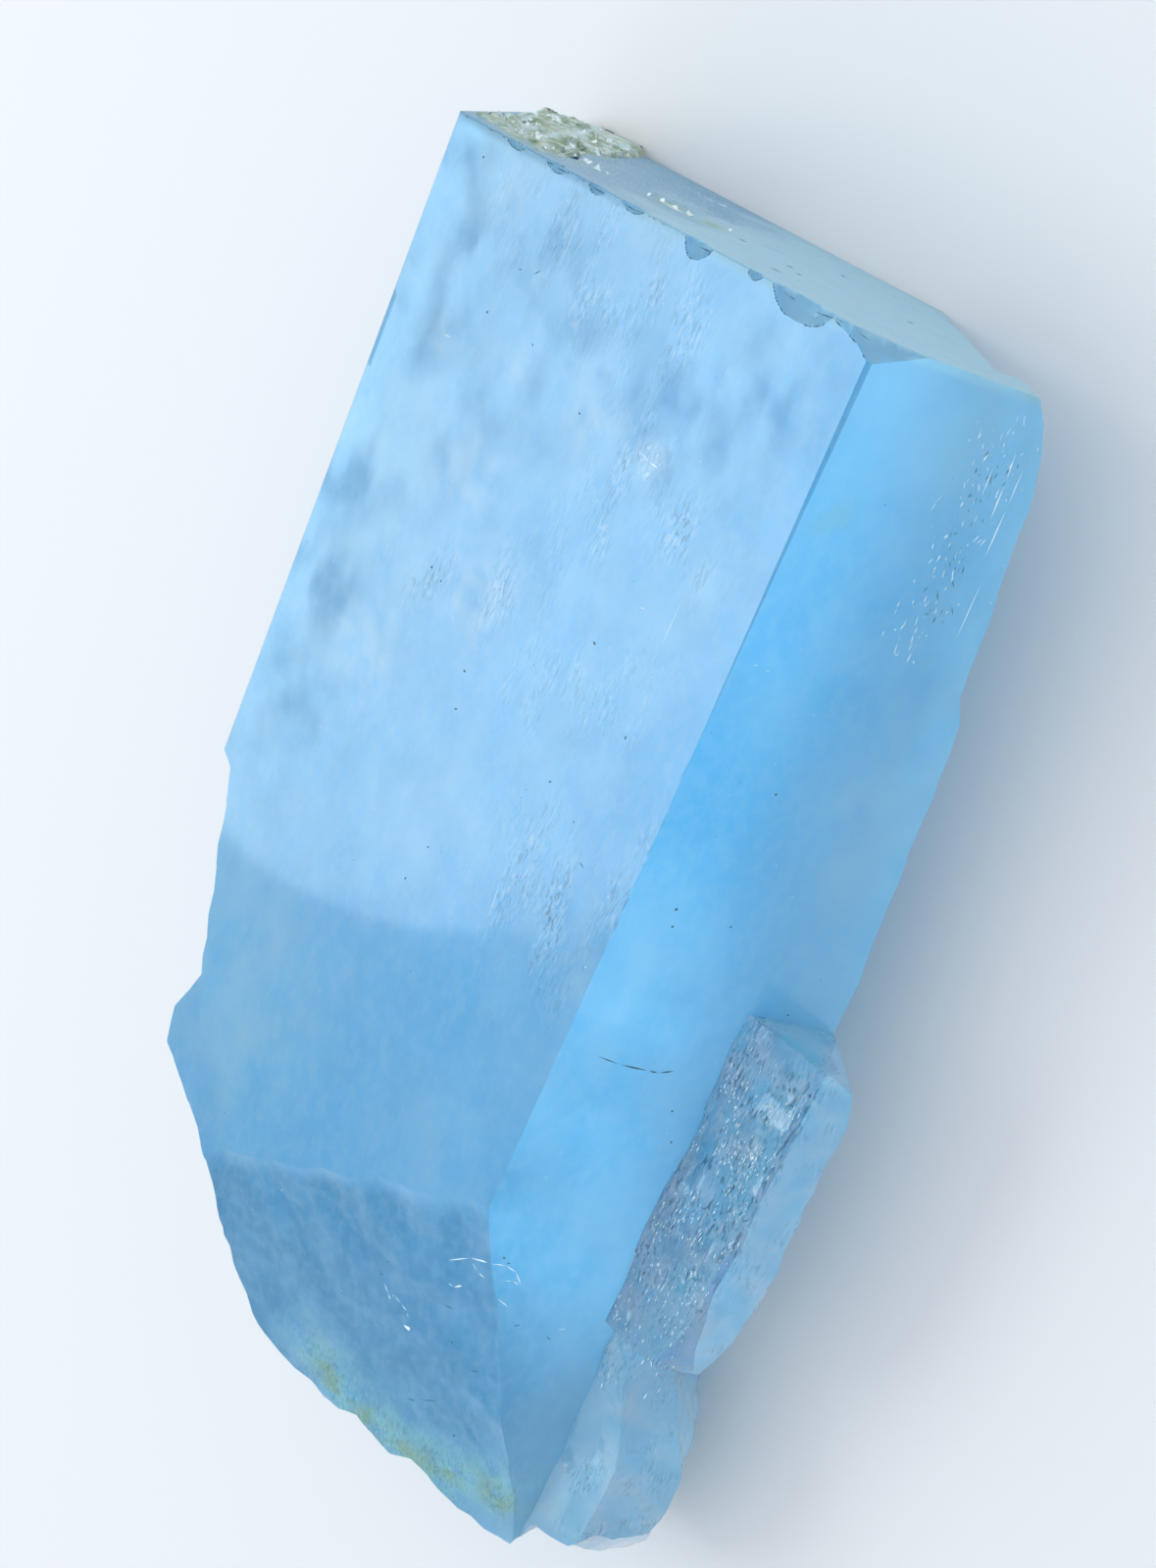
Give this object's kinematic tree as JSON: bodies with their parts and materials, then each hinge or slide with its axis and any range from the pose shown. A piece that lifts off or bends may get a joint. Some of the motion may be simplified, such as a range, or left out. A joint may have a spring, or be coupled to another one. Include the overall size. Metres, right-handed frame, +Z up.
{
  "type": "aquamarine crystal",
  "caption": "Six-sided aquamarine prism with a flat end face, a broken base, a smaller crystal grown on its side and a patch of crust on its end.",
  "frame": {"origin": "centre of the bounding box on the surface that the crystal lies on", "axes": "+Z up, away from the prism face that it rests on; +Y along the crystal's length towards its flat end face; +X towards the side that carries the smaller crystal"},
  "size_m": [0.0472, 0.067, 0.0178],
  "materials": {
    "aquamarine": "natural crystal faces, satin and finely etched, milky inside",
    "crust": "uneven pale crust with glinting flakes"
  },
  "bodies": {
    "root": {"aquamarine_crystal": "aquamarine", "mineral_crust": "crust"}
  },
  "joints": []
}
